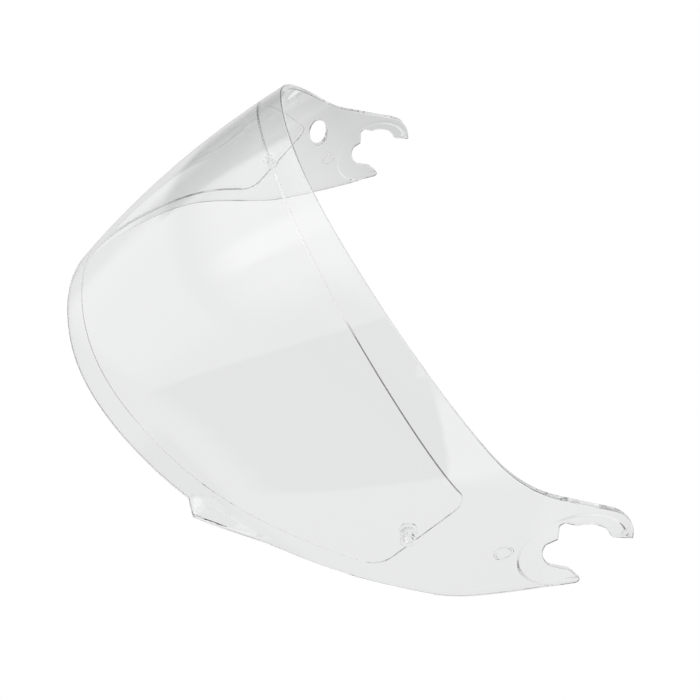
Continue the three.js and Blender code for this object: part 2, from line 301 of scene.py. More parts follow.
def outer(u, v):
    """Points of the shell's outer face, without its tab."""
    share = np.abs(u)
    low, high = spline(BOTTOM, share), spline(TOP, share)
    point = low + (high - low) * v[:, None]
    near = np.minimum(share, 1 - PROBE_SHARE)
    ahead = spline(BOTTOM, near + PROBE_SHARE) + spline(TOP, near + PROBE_SHARE)
    run = ahead - spline(BOTTOM, near) - spline(TOP, near)
    plan = unit(np.stack([run[:, 1], -run[:, 0], 0 * share], axis=1))
    bulge = SAGITTA * np.cos(np.pi / 2 * np.minimum(share / BULGE_END_SHARE, 1)) ** 2
    point += plan * (bulge * 4 * v * (1 - v))[:, None]
    beyond = np.maximum(share - 1, 0)[:, None]
    point[:, 1:] += beyond * (EXTENSION_LOW + (EXTENSION_HIGH - EXTENSION_LOW) * v[:, None])
    flat = smoothstep(*ARM_FLAT_SHARES, share)
    arm_x = HALF_SPAN + point[:, 1] * math.tan(SPLAY)
    point[:, 0] += (arm_x - point[:, 0]) * flat
    point[:, 0] *= np.where(u < 0, -1, 1)
    return point


def slopes(place, u, v, step):
    """How places change along u and along v."""
    run = (place(u + step, v) - place(u - step, v)) / (2 * step)
    rise = (place(u, v + step) - place(u, v - step)) / (2 * step)
    return run, rise


def outward(u, v):
    run, rise = slopes(outer, u, v, PROBE_SHARE)
    return unit(np.cross(run, rise))


def arm_place(u, v):
    """Where a point is in its arm's plane: rearward and up from the pivot."""
    p = outer(u, v)
    rear = (np.abs(p[:, 0]) - HALF_SPAN) * math.sin(SPLAY) + p[:, 1] * math.cos(SPLAY)
    return np.stack([rear, p[:, 2]], axis=1)


def from_arm(places):
    """The shares u and v of places given in the left arm's plane."""
    u = np.full(len(places), 1.0)
    v = np.clip((places[:, 1] - GUESS_FOOT) / GUESS_HEIGHT, 0, 1)
    for _ in range(SEARCH_ROUNDS):
        miss = places - arm_place(u, v)
        run, rise = slopes(arm_place, u, v, ARM_PROBE_SHARE)
        det = run[:, 0] * rise[:, 1] - run[:, 1] * rise[:, 0]
        u = np.clip(u + (miss[:, 0] * rise[:, 1] - miss[:, 1] * rise[:, 0]) / det, *ARM_U_SHARES)
        v = np.clip(v + (run[:, 0] * miss[:, 1] - run[:, 1] * miss[:, 0]) / det, *ARM_V_SHARES)
    return np.stack([u, v], axis=1)


def height_at(share):
    """The shell's height along its surface, but for the bulge."""
    return np.linalg.norm(spline(TOP, share) - spline(BOTTOM, share), axis=1)


# Millimetres along the shell for a whole share of u, as they are at the pins, and where the recess ends
ones = np.ones(1)
PER_SHARE = np.linalg.norm(
    outer(ones * (PIN_ALONG_SHARE + PROBE_SHARE), ones * PIN_ACROSS_SHARE)
    - outer(ones * PIN_ALONG_SHARE, ones * PIN_ACROSS_SHARE)
) / PROBE_SHARE
RECESS_END = PIN_ALONG_SHARE * PER_SHARE + RECESS_BEYOND_PIN


# What stands on the surface and goes into it
def recess_top(share):
    """How far above the bottom edge the recess ends."""
    return height_at(share) - RECESS_TOP - RECESS_GROWTH * share**RECESS_POWER


def recess_distance(u, v):
    """Millimetres from the recess's edge, less than nothing inside it."""
    share = np.abs(u)
    up = v * height_at(share)
    x = share * PER_SHARE - (RECESS_END - RECESS_CORNER)
    y = np.maximum(RECESS_BOTTOM + RECESS_CORNER - up, up - (recess_top(share) - RECESS_CORNER))
    outside = np.hypot(np.maximum(x, 0), np.maximum(y, 0))
    return outside + np.minimum(np.maximum(x, y), 0) - RECESS_CORNER


def step_width(share):
    """The recess's step is a slope, and a steeper one at its rear ends, where the pins come close."""
    from_end = RECESS_END - share * PER_SHARE
    return STEP_WIDTH + (END_STEP_WIDTH - STEP_WIDTH) * smoothstep(*END_STEP_RANGE, from_end)


def pocket_distance(u, v):
    """Millimetres from a hook's round pocket, less than nothing inside it."""
    away = np.linalg.norm(arm_place(u, v) - POCKET_CENTRE, axis=1) - POCKET_RADIUS
    return np.where(np.abs(u) > ARM_START_SHARE, away, OFF_ARM)


def mark_distance(u, v):
    """Millimetres from the ring that marks an arm, less than nothing inside its band."""
    away = np.linalg.norm(arm_place(u, v) - MARK_CENTRE, axis=1)
    ring = np.abs(away - (MARK_RADIUS - MARK_BAND / 2)) - MARK_BAND / 2
    return np.where(np.abs(u) > ARM_START_SHARE, ring, OFF_ARM)


def tab_swell(u, up, crease):
    """How far the tab stands out of the shell at a height above the bottom edge.

    The crease is the share of its reach that it gains at once, just below its root.
    """
    start, end = TAB_SHARES
    rising = soft_ramp((u - start) / (TAB_PEAK_SHARE - start), TAB_EASE)
    falling = soft_ramp((end - u) / (end - TAB_PEAK_SHARE), TAB_TAIL_EASE) ** TAB_POWER
    swell = soft_least(rising, falling, TAB_EASE)
    down = soft_ramp((TAB_ROOT - up) / (TAB_ROOT - TAB_LIP), TAB_EASE)
    slope = soft_least(down * TAB_STEEPNESS, crease + down * (1 - crease), TAB_CREASE_EASE)
    return TAB_REACH * swell * soft_least(slope, 1.0, TAB_LIP_EASE)


def outer_depth(u, v):
    return -tab_swell(u, v * height_at(np.abs(u)), 0)


def inner_depth(u, v):
    up = v * height_at(np.abs(u))
    recess = RECESS_DEPTH * smoothstep(0, 1, -recess_distance(u, v) / step_width(np.abs(u)))
    pocket = POCKET_DEPTH * smoothstep(0, -POCKET_STEP_WIDTH, pocket_distance(u, v))
    mark = MARK_HEIGHT * smoothstep(MARK_SLOPE, -MARK_SLOPE, mark_distance(u, v))
    return WALL - recess - pocket + mark - tab_swell(u, up + TAB_THICKNESS, TAB_INNER_CREASE_SHARE)


# The two faces, and how deep each lies under the smooth surface
OUTER, INNER = 0, 1
DEPTHS = [outer_depth, inner_depth]


def face_point(face, u, v, extra=0):
    return outer(u, v) - outward(u, v) * (DEPTHS[face](u, v) + extra)[:, None]


def face_normal(face, u, v):
    run, rise = slopes(lambda a, b: face_point(face, a, b), u, v, FINE_PROBE_SHARE)
    return unit(np.cross(run, rise)) * (1 if face == OUTER else -1)


# Lines on the shell
def sampled(points, step):
    """An open line of points set at even steps."""
    points = np.asarray(points, float)
    lengths = np.r_[0, np.cumsum(np.linalg.norm(np.diff(points, axis=0), axis=1))]
    count = max(2, int(math.ceil(lengths[-1] / step)) + 1)
    at = np.linspace(0, lengths[-1], count)
    return np.stack([np.interp(at, lengths, points[:, k]) for k in range(points.shape[1])], axis=1)


def rounded(points, radius):
    """An open line with each sharp corner turned into a bend."""
    points = [np.asarray(p, float) for p in points]
    result = [points[0]]
    for last, here, following in zip(points, points[1:], points[2:]):
        before, after = last - here, following - here
        a, b = np.linalg.norm(before), np.linalg.norm(after)
        turn = math.pi - math.acos(max(-1, min(1, before @ after / (a * b))))
        if turn < LEAST_TURN:
            result.append(here)
            continue
        cut = min(radius * math.tan(turn / 2), LONGEST_CUT_SHARE * a, LONGEST_CUT_SHARE * b)
        start, end = here + before / a * cut, here + after / b * cut
        for t in np.linspace(0, 1, BEND_POINTS):
            result.append((1 - t) ** 2 * start + 2 * t * (1 - t) * here + t**2 * end)
    return np.array(result + [points[-1]])


def polar(radius, angle):
    return (radius * math.cos(angle), radius * math.sin(angle))


def arc(centre, radius, start, end, count):
    angles = np.linspace(start, end, count)
    return [(centre[0] + radius * math.cos(t), centre[1] + radius * math.sin(t)) for t in angles]


def hook_line():
    """The left hook's outline in its arm's plane, from the bottom edge to the top edge, and its first u."""
    bottom = arm_place(FOOT_SEARCH_SHARES, 0 * FOOT_SEARCH_SHARES)
    foot = int(np.argmax(bottom[:, 0] > LIP_REACH - LIP_CORNER / 8))
    start_u = FOOT_SEARCH_SHARES[foot] - FOOT_RUN_SHARE
    ring_start = math.acos(-SEAT_RADIUS / 2 / HOOK_RISE)
    line = [
        tuple(arm_place(ones * start_u, 0 * ones)[0]),
        tuple(bottom[foot]),
        (LIP_REACH, -LIP_RISE - LIP_CORNER),
        (LIP_REACH - LIP_CORNER * LIP_CHAMFER_SHARE, -LIP_RISE - LIP_CORNER * LIP_CHAMFER_SHARE),
        (LIP_REACH - LIP_CORNER, -LIP_RISE),
        (LIP_START, -LIP_RISE + LIP_CORNER / 4),
        *arc((0, 0), SEAT_RADIUS, SEAT_LOWER[1], SEAT_LOWER[0], SEAT_POINTS),
        polar(SEAT_RADIUS - RIDGE_HEIGHT, RIDGE),
        polar(SEAT_RADIUS + NOTCH_DEPTH, NOTCH[1]),
        polar(SEAT_RADIUS + NOTCH_DEPTH, NOTCH[0]),
        *arc((0, 0), SEAT_RADIUS, SEAT_UPPER, FINGER_END[1] + LIP_CORNER / SEAT_RADIUS, FINGER_POINTS),
        polar(SEAT_RADIUS + LIP_CORNER / 2, FINGER_END[1]),
        *arc((0, 0), HOOK_RISE, FINGER_END[0], ring_start, RING_POINTS),
    ]
    return rounded(line, HOOK_BEND), start_u


def along_tab(margin, count):
    """Shares of u along the tab and a margin past both its ends."""
    return np.linspace(TAB_SHARES[0] - margin, TAB_SHARES[1] + margin, count)


def outline():
    """The whole outline in shares, turning left as seen from outside."""
    hook, start_u = hook_line()
    top = arm_place(TOP_SEARCH_SHARES, 0 * TOP_SEARCH_SHARES + 1)
    end_u = TOP_SEARCH_SHARES[int(np.argmin(np.linalg.norm(top - hook[-1], axis=1)))] - HOOK_GAP_SHARE
    left = from_arm(sampled(hook[:-1], HOOK_STEP))
    tab_u = along_tab(TAB_EDGE_MARGIN_SHARE, TAB_EDGE_POINTS)
    bottom_u = np.unique(np.r_[np.linspace(-start_u, start_u, EDGE_POINTS), tab_u])[1:-1]
    top_line = np.linspace(end_u, -end_u, EDGE_POINTS)
    return np.vstack([
        np.stack([bottom_u, 0 * bottom_u], axis=1),
        left,
        np.stack([top_line, 0 * top_line + 1], axis=1),
        left[::-1] * [-1, 1],
    ])


def slot_loop():
    """The slot's oval edge in the right arm, as shares."""
    turns = np.linspace(0, 2 * math.pi, SLOT_POINTS, endpoint=False)[:, None]
    along = np.array(polar(SLOT_LENGTH / 2, SLOT_TILT))
    across = np.array(polar(SLOT_WIDTH / 2, SLOT_TILT + math.pi / 2))
    return from_arm(SLOT_CENTRE + np.cos(turns) * along + np.sin(turns) * across) * [-1, 1]


def pin_frame(side):
    """Rearward, upward and outward at a pin, and its origin on the recess's floor, as in the CAD model."""
    u, v = ones * side * PIN_ALONG_SHARE, ones * PIN_ACROSS_SHARE
    axis = outward(u, v)[0]
    origin = outer(u, v)[0] - axis * (WALL - RECESS_DEPTH)
    up = np.array([0, 0, 1]) - axis * axis[2]
    up /= np.linalg.norm(up)
    return np.cross(up, axis), up, axis, origin


def pin_loop(side):
    """The edge of a pin's hole, as shares."""
    rear, up, _, _ = pin_frame(side)
    u, v = side * PIN_ALONG_SHARE, PIN_ACROSS_SHARE
    run, rise = slopes(outer, ones * u, ones * v, PROBE_SHARE)
    basis = np.stack([run[0], rise[0]], axis=1)
    loop = []
    for t in np.linspace(0, 2 * math.pi, PIN_HOLE_POINTS, endpoint=False):
        step = PIN_HOLE * (math.cos(t) * rear + math.sin(t) * up)
        du, dv = np.linalg.lstsq(basis, step, rcond=None)[0]
        loop.append((u + du, v + dv))
    return np.array(loop)


def recess_lines():
    """Closed lines along the recess's edge at a few steps down its slope, as shares."""
    straight = RECESS_END - RECESS_CORNER
    run = np.linspace(0, straight, RECESS_RUN_POINTS)
    turns = np.linspace(0, math.pi / 2, RECESS_TURN_POINTS)[1:]
    rear = np.r_[run, straight + RECESS_CORNER * np.sin(turns)]
    deep = np.r_[0 * run, RECESS_CORNER * (1 - np.cos(turns))]
    to_rear, to_deep = np.r_[0 * run, -np.sin(turns)], np.r_[0 * run + 1, np.cos(turns)]
    lines = []
    for part in RECESS_STEP_SHARES:
        width = np.full(len(rear), STEP_WIDTH)
        for _ in range(RECESS_ROUNDS):
            share = (rear + to_rear * part * width) / PER_SHARE
            up = deep + to_deep * part * width
            width = step_width(share)
        height = height_at(share)
        low = np.stack([share, (up + RECESS_BOTTOM) / height], axis=1)
        high = np.stack([share, (recess_top(share) - up) / height], axis=1)
        half = np.vstack([low, high[::-1]])
        lines.append(np.vstack([half, half[::-1][1:-1] * [-1, 1]]))
    return lines


def outer_lines():
    """Lines along the tab at many heights, each with whether it is closed."""
    u = along_tab(TAB_LINE_MARGIN_SHARE, TAB_LINE_POINTS)
    return [(np.stack([u, up / height_at(u)], axis=1), False) for up in TAB_HEIGHTS]


def inner_lines():
    """Lines along the slopes of the recess, the pockets and the marks, each with whether it is closed."""
    lines = [(line, True) for line in recess_lines()]
    for side in (1, -1):
        for offset in np.linspace(0, POCKET_STEP_WIDTH, POCKET_LINES):
            circle = arc(POCKET_CENTRE, POCKET_RADIUS - offset, *POCKET_SWEEP, POCKET_POINTS)
            lines.append((from_arm(np.array(circle)) * [side, 1], False))
        for offset in np.linspace(MARK_SLOPE, -MARK_SLOPE, MARK_LINES):
            for radius in (MARK_RADIUS + offset, MARK_RADIUS - MARK_BAND - offset):
                circle = arc(MARK_CENTRE, radius, 0, 2 * math.pi, MARK_POINTS)[:-1]
                lines.append((from_arm(np.array(circle)) * [side, 1], True))
    return lines


# The flat chart in which the faces are meshed, close to true to size
def chart_height(u):
    share = np.abs(u)
    return np.linalg.norm(outer(share, 0 * share + 1) - outer(share, 0 * share), axis=1)


def to_chart(line):
    u, v = line[:, 0], line[:, 1]
    return np.stack([u * PER_SHARE, (v - 0.5) * chart_height(u)], axis=1)


def from_chart(places):
    u = places[:, 0] / PER_SHARE
    return u, places[:, 1] / chart_height(u) + 0.5


def turned_right(loop):
    """The loop, turning right as seen from outside, so that material is on its left."""
    x, y = to_chart(loop).T
    area = np.sum(x * np.roll(y, -1) - np.roll(x, -1) * y)
    return loop if area < 0 else loop[::-1]


def moved(u, v, direction, distance):
    """Shares of the point that lies a distance along the surface in a direction."""
    run, rise = slopes(outer, u, v, PROBE_SHARE)
    a, b, c = np.sum(run * run, 1), np.sum(run * rise, 1), np.sum(rise * rise, 1)
    p, q = np.sum(run * direction, 1) * distance, np.sum(rise * direction, 1) * distance
    det = a * c - b * b
    return u + (c * p - b * q) / det, v + (a * q - b * p) / det


def inward(loop):
    """Directions into the material along a loop."""
    points = outer(loop[:, 0], loop[:, 1])
    along = unit(np.roll(points, -1, axis=0) - np.roll(points, 1, axis=0))
    return unit(np.cross(outward(loop[:, 0], loop[:, 1]), along))


def inside(points, loop):
    """Which points lie inside a closed loop."""
    found = np.zeros(len(points), bool)
    x, y = points[:, 0], points[:, 1]
    for (ax, ay), (bx, by) in zip(loop, np.roll(loop, -1, axis=0)):
        if ay == by:
            continue
        crosses = (ay > y) != (by > y)
        found ^= crosses & (x < (bx - ax) * (y - ay) / (by - ay) + ax)
    return found


def in_material(points, loops):
    """Which points lie inside the first loop and outside the others."""
    found = inside(points, loops[0])
    for hole in loops[1:]:
        found &= ~inside(points, hole)
    return found


def face_mesh(loops, lines):
    """One face's points in the chart, its triangles, and each loop's own point numbers."""
    places, edges, loop_numbers, polygons = [], [], [], []
    for loop in loops:
        start, count = len(places), len(loop)
        polygons.append(to_chart(loop))
        places += [tuple(p) for p in polygons[-1]]
        edges += [(start + i, start + (i + 1) % count) for i in range(count)]
        loop_numbers.append(range(start, start + count))
    for line, closed in lines:
        chart = to_chart(line)
        keep = in_material(chart, polygons)
        numbers = np.cumsum(keep) - 1 + len(places)
        places += [tuple(p) for p in chart[keep]]
        count = len(chart)
        for i in range(count if closed else count - 1):
            j = (i + 1) % count
            if keep[i] and keep[j]:
                edges.append((int(numbers[i]), int(numbers[j])))
    grid = staggered_grid(polygons[0])
    grid = grid[in_material(grid, polygons)]
    fixed = np.array(places)
    clear = np.ones(len(grid), bool)
    for i in range(0, len(fixed), POINT_BATCH):
        away = np.abs(grid[:, None] - fixed[i:i + POINT_BATCH][None]).max(2)
        clear &= (away > POINT_GAP).all(1)
    places += [tuple(p) for p in grid[clear]]
    result = delaunay_2d_cdt([Vector(p) for p in places], edges, [], 0, WELD, True)
    points = np.array([tuple(p) for p in result[0]])
    triangles = np.array(result[2])
    own = {original: number for number, originals in enumerate(result[3]) for original in originals}
    loop_numbers = [[own[i] for i in numbers] for numbers in loop_numbers]
    keep = in_material(points[triangles].mean(axis=1), polygons)
    return points, triangles[keep], loop_numbers


def staggered_grid(polygon):
    """Points in rows over the whole of a polygon's box, every second point or row set half a step on."""
    low, high = polygon.min(0), polygon.max(0)
    columns, rows = (int(size / GRID_STEP) for size in high - low)
    xs = np.linspace(low[0], high[0], columns)
    ys = np.linspace(low[1], high[1], rows)
    grid = np.stack(np.meshgrid(xs, ys), axis=-1).reshape(-1, 2)
    grid[:, 0] += (np.arange(len(grid)) // columns % 2) * (xs[1] - xs[0]) / 2
    return grid


# The shell
def make_mesh(name, vertices, faces, normals=None):
    mesh = bpy.data.meshes.new(name)
    mesh.from_pydata([tuple(p) for p in np.asarray(vertices) * MM], [], [list(map(int, f)) for f in faces])
    mesh.polygons.foreach_set("use_smooth", [True] * len(mesh.polygons))
    mesh.update()
    if normals is not None:
        mesh.normals_split_custom_set_from_vertices([tuple(n) for n in normals])
    piece = bpy.data.objects.new(name, mesh)
    bpy.context.scene.collection.objects.link(piece)
    return piece


def rectangle(x, y):
    """The corners of a rectangle about the origin."""
    return [(-x, -y), (x, -y), (x, y), (-x, y)]


def rim_profile(radius):
    """A rim's steps from the outer face round to the inner: face, way in from the edge, depth and turn."""
    turns = np.linspace(0, math.pi / 2, RIM_STEPS)[1:]
    steps = [(radius * (1 - math.sin(turn)), radius * (1 - math.cos(turn)), turn) for turn in turns]
    first = [(OUTER, away, deeper, turn) for away, deeper, turn in steps]
    return first + [(INNER, away, -deeper, turn) for away, deeper, turn in steps[::-1]]


def build_shell():
    loops = [(outline(), RIM_RADIUS), (turned_right(slot_loop()), RIM_RADIUS)]
    loops += [(turned_right(pin_loop(side)), HOLE_RIM_RADIUS) for side in (1, -1)]
    inset = [np.stack(moved(*loop.T, inward(loop), radius), axis=1) for loop, radius in loops]
    vertices, normals, faces, rims = [], [], [], []
    offset = 0
    for face, lines in enumerate((outer_lines(), inner_lines())):
        places, triangles, numbers = face_mesh(inset, lines)
        u, v = from_chart(places)
        vertices.append(face_point(face, u, v))
        normals.append(face_normal(face, u, v))
        faces += [list(t if face == OUTER else t[::-1]) for t in (triangles + offset)]
        rims.append([[n + offset for n in loop] for loop in numbers])
        offset += len(places)
    for number, (loop, radius) in enumerate(loops):
        into = inward(loop)
        count = len(loop)
        rows = [rims[OUTER][number]]
        for face, away, deeper, turn in rim_profile(radius):
            u, v = moved(*loop.T, into, away)
            vertices.append(face_point(face, u, v, np.full(count, deeper)))
            facing = outward(u, v) * (1 if face == OUTER else -1)
            normals.append(unit(facing * math.cos(turn) - into * math.sin(turn)))
            rows.append(list(range(offset, offset + count)))
            offset += count
        rows.append(rims[INNER][number])
        for upper, lower in zip(rows, rows[1:]):
            for i in range(count):
                j = (i + 1) % count
                faces.append([upper[i], lower[i], lower[j], upper[j]])
    return make_mesh("shell_clear", np.vstack(vertices), faces, np.vstack(normals))


# Pins and caps
def turned(name, profile, offset=0):
    """A closed body turned about z from points of radius and height that start and end on the axis."""
    around = np.linspace(0, 2 * math.pi, PIN_POINTS, endpoint=False)
    vertices, rows = [], []
    for radius, height in rounded(profile, PIN_FILLET):
        start = len(vertices)
        turns = around if radius > 0 else around[:1]
        vertices += [(radius * math.cos(t), offset + radius * math.sin(t), height) for t in turns]
        rows.append([start + i for i in range(len(turns))])
    faces = []
    for a, b in zip(rows, rows[1:]):
        for i in range(PIN_POINTS):
            j = (i + 1) % PIN_POINTS
            ring = [a[i % len(a)], a[j % len(a)], b[j % len(b)], b[i % len(b)]]
            faces.append(list(dict.fromkeys(ring)))
    piece = make_mesh(name, vertices, faces)
    shape = bmesh.new()
    shape.from_mesh(piece.data)
    bmesh.ops.recalc_face_normals(shape, faces=shape.faces)
    shape.to_mesh(piece.data)
    shape.free()
    return piece


def take_modifier_in(piece):
    """Puts what the piece's modifier makes in the place of its mesh."""
    ready = piece.evaluated_get(bpy.context.evaluated_depsgraph_get())
    mesh = bpy.data.meshes.new_from_object(ready)
    piece.modifiers.clear()
    piece.data = mesh


def join(piece, other, operation):
    """Adds another solid to the piece, or cuts it from the piece."""
    change = piece.modifiers.new("joined", "BOOLEAN")
    change.operation = operation
    change.solver = "EXACT"
    change.object = other
    take_modifier_in(piece)
    bpy.data.objects.remove(other)


def soften(piece):
    """Rounds off the piece's sharp edges and shades its faces to suit."""
    bevel = piece.modifiers.new("softened", "BEVEL")
    bevel.width = SLOT_FILLET * MM
    bevel.segments = FILLET_SEGMENTS
    bevel.limit_method = "ANGLE"
    bevel.angle_limit = FILLET_ANGLE
    take_modifier_in(piece)
    mesh = piece.data
    mesh.polygons.foreach_set("use_smooth", [True] * len(mesh.polygons))
    mesh.set_sharp_from_angle(angle=SHARP_ANGLE)


def set_in_wall(piece, side):
    rear, up, axis, origin = pin_frame(side)
    turn = Matrix(np.stack([rear, up, axis], axis=1).tolist()).to_4x4()
    piece.data.transform(Matrix.Translation(Vector(origin) * MM) @ turn)


def build_spool(side_name, side):
    """The pin: a spool off its axis that grips the insert's edge, on a shank through the wall."""
    seat = -REST_GAP
    neck_top = seat - FLANGE_HEIGHT
    head_top = neck_top - NECK_HEIGHT
    head_end = head_top - HEAD_HEIGHT
    dish = HEAD_RADIUS * DISH_SHARE
    piece = turned(side_name + "_spool", [
        (0, head_end + HEAD_DISH),
        (dish, head_end + HEAD_DISH),
        (dish + HEAD_DISH, head_end),
        (HEAD_RADIUS - HEAD_CROWN, head_end),
        (HEAD_RADIUS, head_end + HEAD_CROWN),
        (HEAD_RADIUS, head_top),
        (NECK_RADIUS, head_top),
        (NECK_RADIUS, neck_top),
        (FLANGE_RADIUS, neck_top),
        (FLANGE_RADIUS, seat),
        (0, seat),
    ], PIN_OFFSET)
    shank_end = WALL - RECESS_DEPTH + CAP_HEIGHT - CAP_FLOOR
    shank = turned("shank", [
        (0, neck_top),
        (SHANK_RADIUS, neck_top),
        (SHANK_RADIUS, shank_end - CAP_EDGE),
        (SHANK_RADIUS - CAP_EDGE, shank_end),
        (0, shank_end),
    ])
    join(piece, shank, "UNION")
    soften(piece)
    set_in_wall(piece, side)
    return piece


def build_cap(side_name, side):
    """The cap on the shank's outer end, crowned, with a slot for turning the pin."""
    base = WALL - RECESS_DEPTH + REST_GAP
    bore_end = base + CAP_HEIGHT - CAP_FLOOR
    bore = SHANK_RADIUS + BORE_CLEARANCE
    top = base + CAP_HEIGHT
    piece = turned(side_name + "_cap", [
        (0, bore_end),
        (bore, bore_end),
        (bore, base),
        (CAP_RADIUS, base),
        (CAP_RADIUS, top - CAP_EDGE),
        (CAP_RADIUS - CAP_EDGE, top - CAP_CROWN),
        (CAP_RADIUS / 2, top - CAP_CROWN / 4),
        (0, top),
    ])
    ring = rectangle(CAP_RADIUS * CUTTER_REACH_SHARE, CAP_SLOT_WIDTH / 2)
    corners = [(x, y, z) for z in (top - CAP_SLOT_DEPTH, top + CAP_HEIGHT) for x, y in ring]
    sides = [(3, 2, 1, 0), (4, 5, 6, 7)] + [(i, (i + 1) % 4, (i + 1) % 4 + 4, i + 4) for i in range(4)]
    join(piece, make_mesh("cutter", corners, sides), "DIFFERENCE")
    soften(piece)
    set_in_wall(piece, side)
    return piece


# Materials and studio, from nodes
class Field:
    """A number worked out by nodes, with Python's own signs."""

    def __init__(self, tree, value):
        self.tree, self.value = tree, value

    def make(self, operation, *values):
        node = self.tree.nodes.new("ShaderNodeMath")
        node.operation = operation
        for socket, value in zip(node.inputs, (self, *values)):
            value = value.value if isinstance(value, Field) else value
            if isinstance(value, (int, float)):
                socket.default_value = value
            else:
                self.tree.links.new(value, socket)
        return Field(self.tree, node.outputs[0])

    def __add__(self, other):
        return self.make("ADD", other)

    def __sub__(self, other):
        return self.make("SUBTRACT", other)

    def __mul__(self, other):
        return self.make("MULTIPLY", other)

    def carried(self, low, high, first, last, interpolation="LINEAR"):
        """Carried from the range low to high onto the range first to last, and held within it."""
        node = self.tree.nodes.new("ShaderNodeMapRange")
        node.interpolation_type = interpolation
        node.inputs["From Min"].default_value = low
        node.inputs["From Max"].default_value = high
        node.inputs["To Min"].default_value = first
        node.inputs["To Max"].default_value = last
        self.tree.links.new(self.value, node.inputs["Value"])
        return Field(self.tree, node.outputs[0])

    def step(self, low, high):
        """0 below low and 1 above high, or the other way round if low is the greater."""
        if low > high:
            return self.carried(high, low, 1, 0, "SMOOTHSTEP")
        return self.carried(low, high, 0, 1, "SMOOTHSTEP")

    def between(self, low, high, ease):
        return self.step(low - ease, low + ease) * self.step(high + ease, high - ease)

    def tint(self, first, second):
        """A colour that goes from the first to the second as the number goes from 0 to 1."""
        mix = self.tree.nodes.new("ShaderNodeMix")
        mix.data_type = "RGBA"
        mix.inputs["A"].default_value = first
        mix.inputs["B"].default_value = second
        self.tree.links.new(self.value, mix.inputs["Factor"])
        return mix.outputs["Result"]


def emptied(owner):
    """The owner's node tree, with nothing in it."""
    owner.use_nodes = True
    owner.node_tree.nodes.clear()
    return owner.node_tree


def clear_plastic(material, ior):
    """The start of a clear plastic: its node tree, shader and output."""
    tree = emptied(material)
    output = tree.nodes.new("ShaderNodeOutputMaterial")
    shader = tree.nodes.new("ShaderNodeBsdfPrincipled")
    shader.inputs["Transmission Weight"].default_value = 1
    shader.inputs["IOR"].default_value = ior
    tree.links.new(shader.outputs[0], output.inputs["Surface"])
    return tree, shader, output


def noise(tree, scale, detail):
    """Noise that stays put on the piece."""
    place = tree.nodes.new("ShaderNodeTexCoord")
    node = tree.nodes.new("ShaderNodeTexNoise")
    node.inputs["Scale"].default_value = scale
    node.inputs["Detail"].default_value = detail
    tree.links.new(place.outputs["Object"], node.inputs["Vector"])
    return Field(tree, node.outputs["Fac"])


def shell_material():
    """Polished polycarbonate, wiped a little dull in places, with painted shade greying its colour where it
    is seen edge on.
    """
    material = bpy.data.materials.new("clear_polycarbonate")
    tree, shader, output = clear_plastic(material, SHELL_IOR)
    wear = noise(tree, scale=60, detail=6).carried(*WEAR_NOISE, 0, SHELL_WEAR)
    tree.links.new(wear.value, shader.inputs["Roughness"])
    # Painted shade: the colour greys towards where the shell is seen edge on, standing in for the dark
    # edges of clear plastic
    facing = tree.nodes.new("ShaderNodeLayerWeight")
    facing.inputs["Blend"].default_value = 0.5
    grazing = Field(tree, facing.outputs["Facing"]).make("POWER", GRAZING_POWER)
    tree.links.new(grazing.tint(SHELL_FACING, SHELL_EDGE_SHADE), shader.inputs["Base Color"])
    body = tree.nodes.new("ShaderNodeVolumeAbsorption")
    body.inputs["Color"].default_value = SHELL_GREY
    body.inputs["Density"].default_value = SHELL_ABSORPTION
    tree.links.new(body.outputs[0], output.inputs["Volume"])
    return material


def pin_material():
    """Clear moulded plastic, a little cloudy, with a fine grain."""
    material = bpy.data.materials.new("pin_plastic")
    tree, shader, _ = clear_plastic(material, PIN_IOR)
    tree.links.new(noise(tree, scale=420, detail=3).tint(*PIN_TINTS), shader.inputs["Base Color"])
    grain = noise(tree, scale=2600, detail=2)
    tree.links.new(grain.carried(*GRAIN_NOISE, *PIN_ROUGHNESS).value, shader.inputs["Roughness"])
    bump = tree.nodes.new("ShaderNodeBump")
    bump.inputs["Strength"].default_value = PIN_BUMP
    bump.inputs["Distance"].default_value = PIN_BUMP_DEPTH * MM
    tree.links.new(grain.value, bump.inputs["Height"])
    tree.links.new(bump.outputs["Normal"], shader.inputs["Normal"])
    return material


def bearings(tree, direction):
    """Azimuth and elevation of a direction, in degrees."""
    parts = tree.nodes.new("ShaderNodeSeparateXYZ")
    tree.links.new(direction, parts.inputs[0])
    x, y, z = (Field(tree, socket) for socket in parts.outputs)
    return y.make("ARCTAN2", x) * (180 / math.pi), z.make("ARCSINE") * (180 / math.pi)


